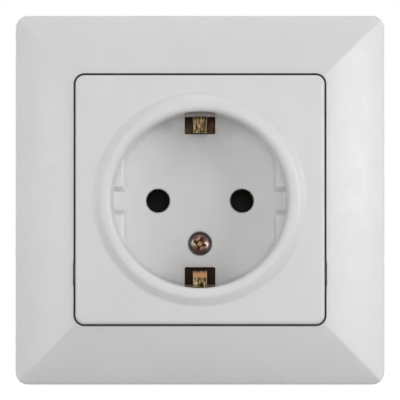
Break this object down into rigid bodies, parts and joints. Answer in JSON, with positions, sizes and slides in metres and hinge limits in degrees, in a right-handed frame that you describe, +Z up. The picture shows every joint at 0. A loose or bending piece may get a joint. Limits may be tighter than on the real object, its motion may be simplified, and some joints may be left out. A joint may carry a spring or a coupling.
{
  "type": "wall socket",
  "caption": "Square flush wall socket, type F: bevelled white frame, round plug well with side earth springs, contact block, support plate and spreading claws behind.",
  "frame": {"origin": "centre of the socket on the wall plane, between the two box screw holes", "axes": "+X right and +Z up as seen by the user, -Y out of the wall towards the user, +Y into the wall box"},
  "size_m": [0.082, 0.0402, 0.082],
  "materials": {
    "white_plastic": "satin gloss",
    "base_plastic": "matt moulded",
    "zinc_steel": "zinc plated",
    "spring_steel": "blued",
    "brass": "rolled",
    "coloured_screw_steel": "copper-coloured passivation"
  },
  "bodies": {
    "socket": {"outer_frame": "white_plastic", "center_cover": "white_plastic", "cover_screw": "coloured_screw_steel", "support_plate": "zinc_steel", "base_body": "base_plastic", "base_rivets": "zinc_steel", "earth_bracket": "brass", "earth_terminal_screw": "zinc_steel", "earth_clamp_plate": "zinc_steel", "line_contact": "brass", "neutral_contact": "brass", "line_contact_spring": "spring_steel", "neutral_contact_spring": "spring_steel", "line_terminal_screw": "zinc_steel", "neutral_terminal_screw": "zinc_steel", "line_clamp_plate": "zinc_steel", "neutral_clamp_plate": "zinc_steel"},
    "claw_screw_left": {"claw_screw_left": "zinc_steel"},
    "claw_left": {"claw_left": "zinc_steel"},
    "claw_screw_right": {"claw_screw_right": "zinc_steel"},
    "claw_right": {"claw_right": "zinc_steel"}
  },
  "joints": [
    {"name": "claw_left_spread", "type": "hinge", "parent": "socket", "child": "claw_screw_left", "pos_m": [-0.0275, -0.0028, 0], "axis": [0, 0, 1], "range_deg": [0, 9]},
    {"name": "claw_left_climb", "type": "slide", "parent": "claw_screw_left", "child": "claw_left", "axis": [0, -1, 0], "range_m": [0, 0.007]},
    {"name": "claw_right_spread", "type": "hinge", "parent": "socket", "child": "claw_screw_right", "pos_m": [0.0275, -0.0028, 0], "axis": [0, 0, -1], "range_deg": [0, 9]},
    {"name": "claw_right_climb", "type": "slide", "parent": "claw_screw_right", "child": "claw_right", "axis": [0, -1, 0], "range_m": [0, 0.007]}
  ],
  "couplings": [
    {"joint": "claw_left_climb", "follows": "claw_left_spread", "m_per_rad": 0.0445},
    {"joint": "claw_right_climb", "follows": "claw_right_spread", "m_per_rad": 0.0445}
  ]
}
